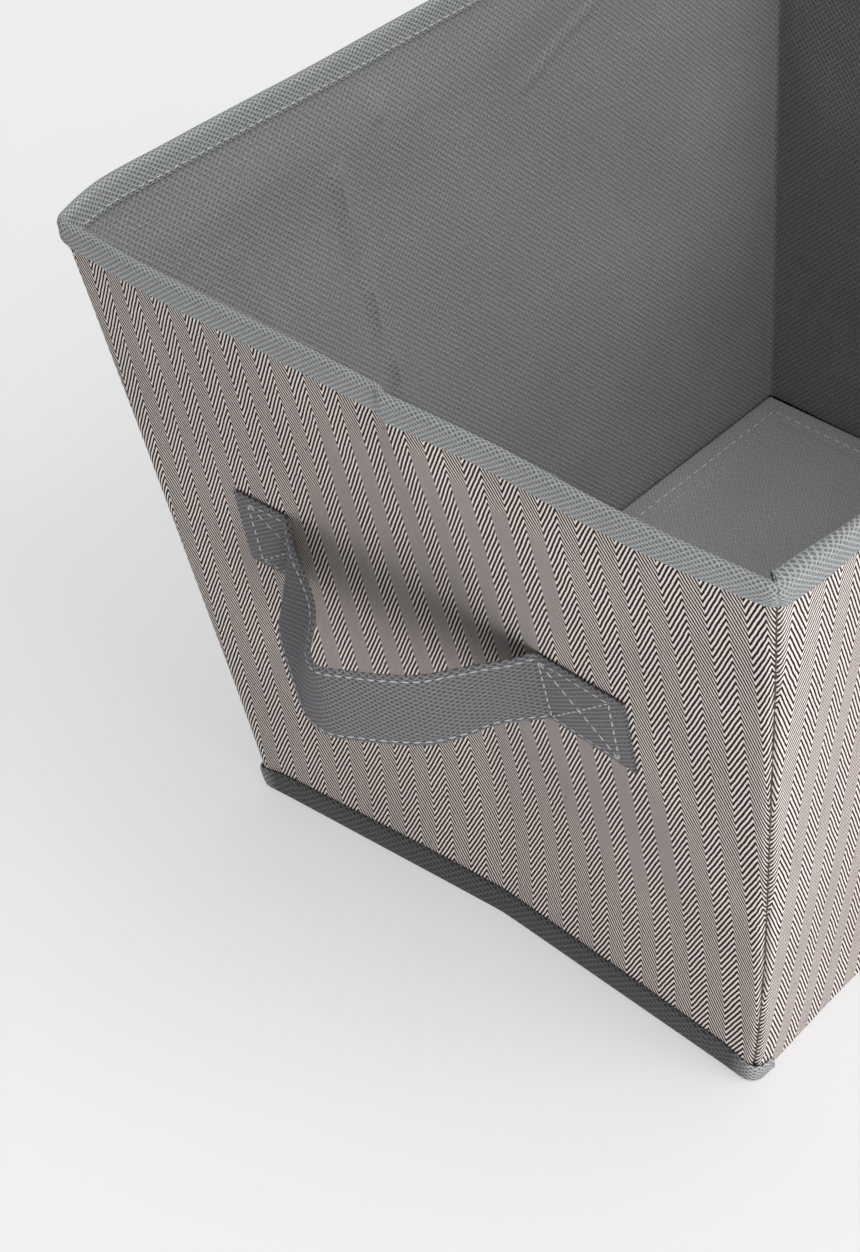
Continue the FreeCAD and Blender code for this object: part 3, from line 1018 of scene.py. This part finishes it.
def tabPiece(end, name, start, stop):
    def place(x, up, lift):
        near = min(abs(x - start - 3), abs(x - stop + 3))
        dip = 0.2 * math.exp(-(near / 0.9) ** 2) * (1 if lift > 0 else 0)
        rise = handleShape["thickness"] / 2 + 0.1 + lift - dip + 0.12 * noise.noise(Vector((x, up * 16, 2)) / 6)
        return tabPoint(end, x, up, rise), (x, up * handleShape["width"] / 2)
    return makeStrap(name, heights(start, stop, 1.5), place)


def strapPiece(end, name, start, stop):
    def place(share, up, lift):
        return strapPoint(end, share, up, lift), (share * 126 - 63, up * handleShape["width"] / 2)
    return makeStrap(name, heights(start, stop, 0.0125), place)


def edgeRows(end, name, start, stop):
    rows = []
    for up in (-1, 1):
        shares = heights(start, stop, 0.01)
        u = up * (1 - handleShape["stitchIn"] * 2 / handleShape["width"])
        for face, lift in ((1, handleShape["thickness"] / 2 - 0.05),
                (-1, -handleShape["thickness"] / 2 + 0.05)):
            path = [strapPoint(end, t, u, lift) for t in shares]
            off = [strapPoint(end, t, u, lift + 0.5) for t in shares]
            normals = [(b - a).normalized() * face for a, b in zip(path, off)]
            rows.append(sewRow(f"{name}{up}{face}", path, normals, handleShape["pitch"],
                    handleShape["stitch"], paleThread))
    return mergePieces(name, rows)


apexShare = handleShape["apexShare"]
for end in endSign:
    for side in ("left", "right"):
        # on the back end the far handle's left half is the front's right half turned round
        mine = side if end == "front" else {"left": "right", "right": "left"}[side]
        key, half, handle = f"{end}_{side}", f"{end}_{side}_half", f"{end}_handle_{side}"
        tabStart, tabStop = handleShape[mine + "Tab"]
        tab = tabPiece(end, f"handleTab_{key}", tabStart, tabStop)
        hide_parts(f"handle_tab_{key}")
        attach(tab, half)
        # box of stitches with a cross, near the tab's outer end
        inner, outer = (tabStop - 0.6, tabStart + 5.5) if mine == "left" else (tabStart + 1.2, tabStop - 5.5)
        tall = 1 - handleShape["stitchIn"] * 2 / handleShape["width"] - 0.03
        spots = [(inner, -tall), (outer, -tall), (outer, tall), (inner, tall)]
        lines = [(spots[k], spots[(k + 1) % 4]) for k in range(4)] + [(spots[0], spots[2]),
                (spots[1], spots[3])]
        if mine == "left":                       # the strap peels away over this box, so half of it shows
            lines = [(spots[0], spots[1]), (spots[1], spots[2]), (spots[2], spots[3]),
                    (spots[1], (inner, -0.05)), (spots[2], (inner, 0.05))]
        rows = []
        for k, (a, b) in enumerate(lines):
            path = [tabPoint(end, a[0] + (b[0] - a[0]) * t / 10, a[1] + (b[1] - a[1]) * t / 10,
                    handleShape["thickness"] + 0.12) for t in range(11)]
            rows.append(sewRow(f"boxRow{k}", path, [facing[end]] * 11, handleShape["pitch"],
                    handleShape["stitch"], paleThread))
        box = mergePieces(f"tabStitches_{key}", rows)
        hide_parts(f"tab_thread_{key}")
        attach(box, half)

        cut = handleShape["endShare"]
        endPart, midPart = ((0, cut), (cut, apexShare)) if mine == "left" else ((1 - cut, 1),
                (apexShare, 1 - cut))
        twist = strapPiece(end, f"strapEnd_{key}", *endPart)
        middle = strapPiece(end, f"strap_{key}", *midPart)
        twistRows = edgeRows(end, f"strapEndStitches_{key}", *endPart)
        middleRows = edgeRows(end, f"strapStitches_{key}", *midPart)
        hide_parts(f"handle_strap_{key}")
        tabEdge, cutEdge = (endPart if mine == "left" else endPart[::-1])
        a, b = strapPoint(end, tabEdge, 0), strapPoint(end, cutEdge, 0)
        b = Vector((b.x, a.y, a.z))
        gather = strapPoint(end, cutEdge, 0)     # the strap's middle where the end piece is cut off, not used further
        reachOut = (strapPoint(end, apexShare, 0) - gather).normalized()
        for piece in (twist, twistRows):
            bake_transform(piece)
        for piece in (middle, middleRows):
            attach(piece, handle)
            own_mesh(piece)
print("handles ready")

# plain pale floor, soft light from the right, camera
studio = {
    "floorColour": (0.34, 0.34, 0.342), "floorGlow": 0.50,     # a lit table, so shadows on it stay light
    # strength, softness, direction
    "lamps": {"overhead": (1.5, 60, (0.15, 0.15, 1.0)), "sideLight": (1.75, 42, (1.0, 0.1, 0.95))},
    "nearLamp": {"strength": 3.6, "size": 0.45, "at": (0.75, -0.75, 0.22), "aim": (0.10, -0.14, 0.12)},
    "worldStrength": 0.2, "worldColour": (0.97, 0.985, 1.0),
    "aim": (-21.0, -151.0, 125.0), "azimuth": 44.12, "elevation": 40.94, "roll": -3.27, "distance": 1019.0,
    "lens": 91.06,
}
bm = bmesh.new()
bmesh.ops.create_grid(bm, x_segments=8, y_segments=8, size=6.0)
floorFinish, tree, shader = newFinish("studioFloor", 0.6, 0, 0.2)
coords = tree.nodes.new("ShaderNodeTexCoord")
shade = noiseNode(tree, coords.outputs["Object"], 2.0, 2)
tone = blendColour(tree, shade, tuple(c * 0.995 for c in studio["floorColour"]), studio["floorColour"])
tree.links.new(tone, shader.inputs["Base Color"])
shader.inputs["Emission Color"].default_value = (1, 1, 1, 1)
shader.inputs["Emission Strength"].default_value = studio["floorGlow"]
floor = meshObject("studioFloor", bm, floorFinish)

world = bpy.data.worlds.new("studio")
world.use_nodes = True
backdrop = world.node_tree.nodes["Background"]
backdrop.inputs[0].default_value = (*studio["worldColour"], 1)
backdrop.inputs[1].default_value = studio["worldStrength"]
bpy.context.scene.world = world
bpy.context.scene.view_settings.view_transform = "Standard"
for lampName, (strength, softness, source) in studio["lamps"].items():
    lamp = bpy.data.lights.new(lampName, "SUN")
    lamp.energy, lamp.angle = strength, math.radians(softness)
    lampObject = bpy.data.objects.new(lampName, lamp)
    lampObject.rotation_euler = Vector(source).to_track_quat("Z", "Y").to_euler()
    bpy.context.scene.collection.objects.link(lampObject)

near = studio["nearLamp"]
lamp = bpy.data.lights.new("nearLamp", "AREA")
lamp.energy, lamp.size = near["strength"], near["size"]
lampObject = bpy.data.objects.new("nearLamp", lamp)
lampObject.location = near["at"]
lampObject.rotation_euler = (Vector(near["at"]) - Vector(near["aim"])).to_track_quat("Z", "Y").to_euler()
bpy.context.scene.collection.objects.link(lampObject)

camera = bpy.data.objects.new("camera", bpy.data.cameras.new("camera"))
camera.data.lens, camera.data.sensor_width = studio["lens"], 36
camera.data.clip_start, camera.data.clip_end = 0.05, 50
turn, rise, roll = (math.radians(studio[k]) for k in ("azimuth", "elevation", "roll"))
back = Vector((math.sin(turn) * math.cos(rise), -math.cos(turn) * math.cos(rise), math.sin(rise)))
right = Vector((math.cos(turn), math.sin(turn), 0))
up = back.cross(right)
right, up = right * math.cos(roll) + up * math.sin(roll), up * math.cos(roll) - right * math.sin(roll)
camera.matrix_world = Matrix.Translation((Vector(studio["aim"]) + back * studio["distance"])
        * mm) @ Matrix((right, up, back)).transposed().to_4x4()
bpy.context.scene.collection.objects.link(camera)
bpy.context.scene.camera = camera
print("studio ready")
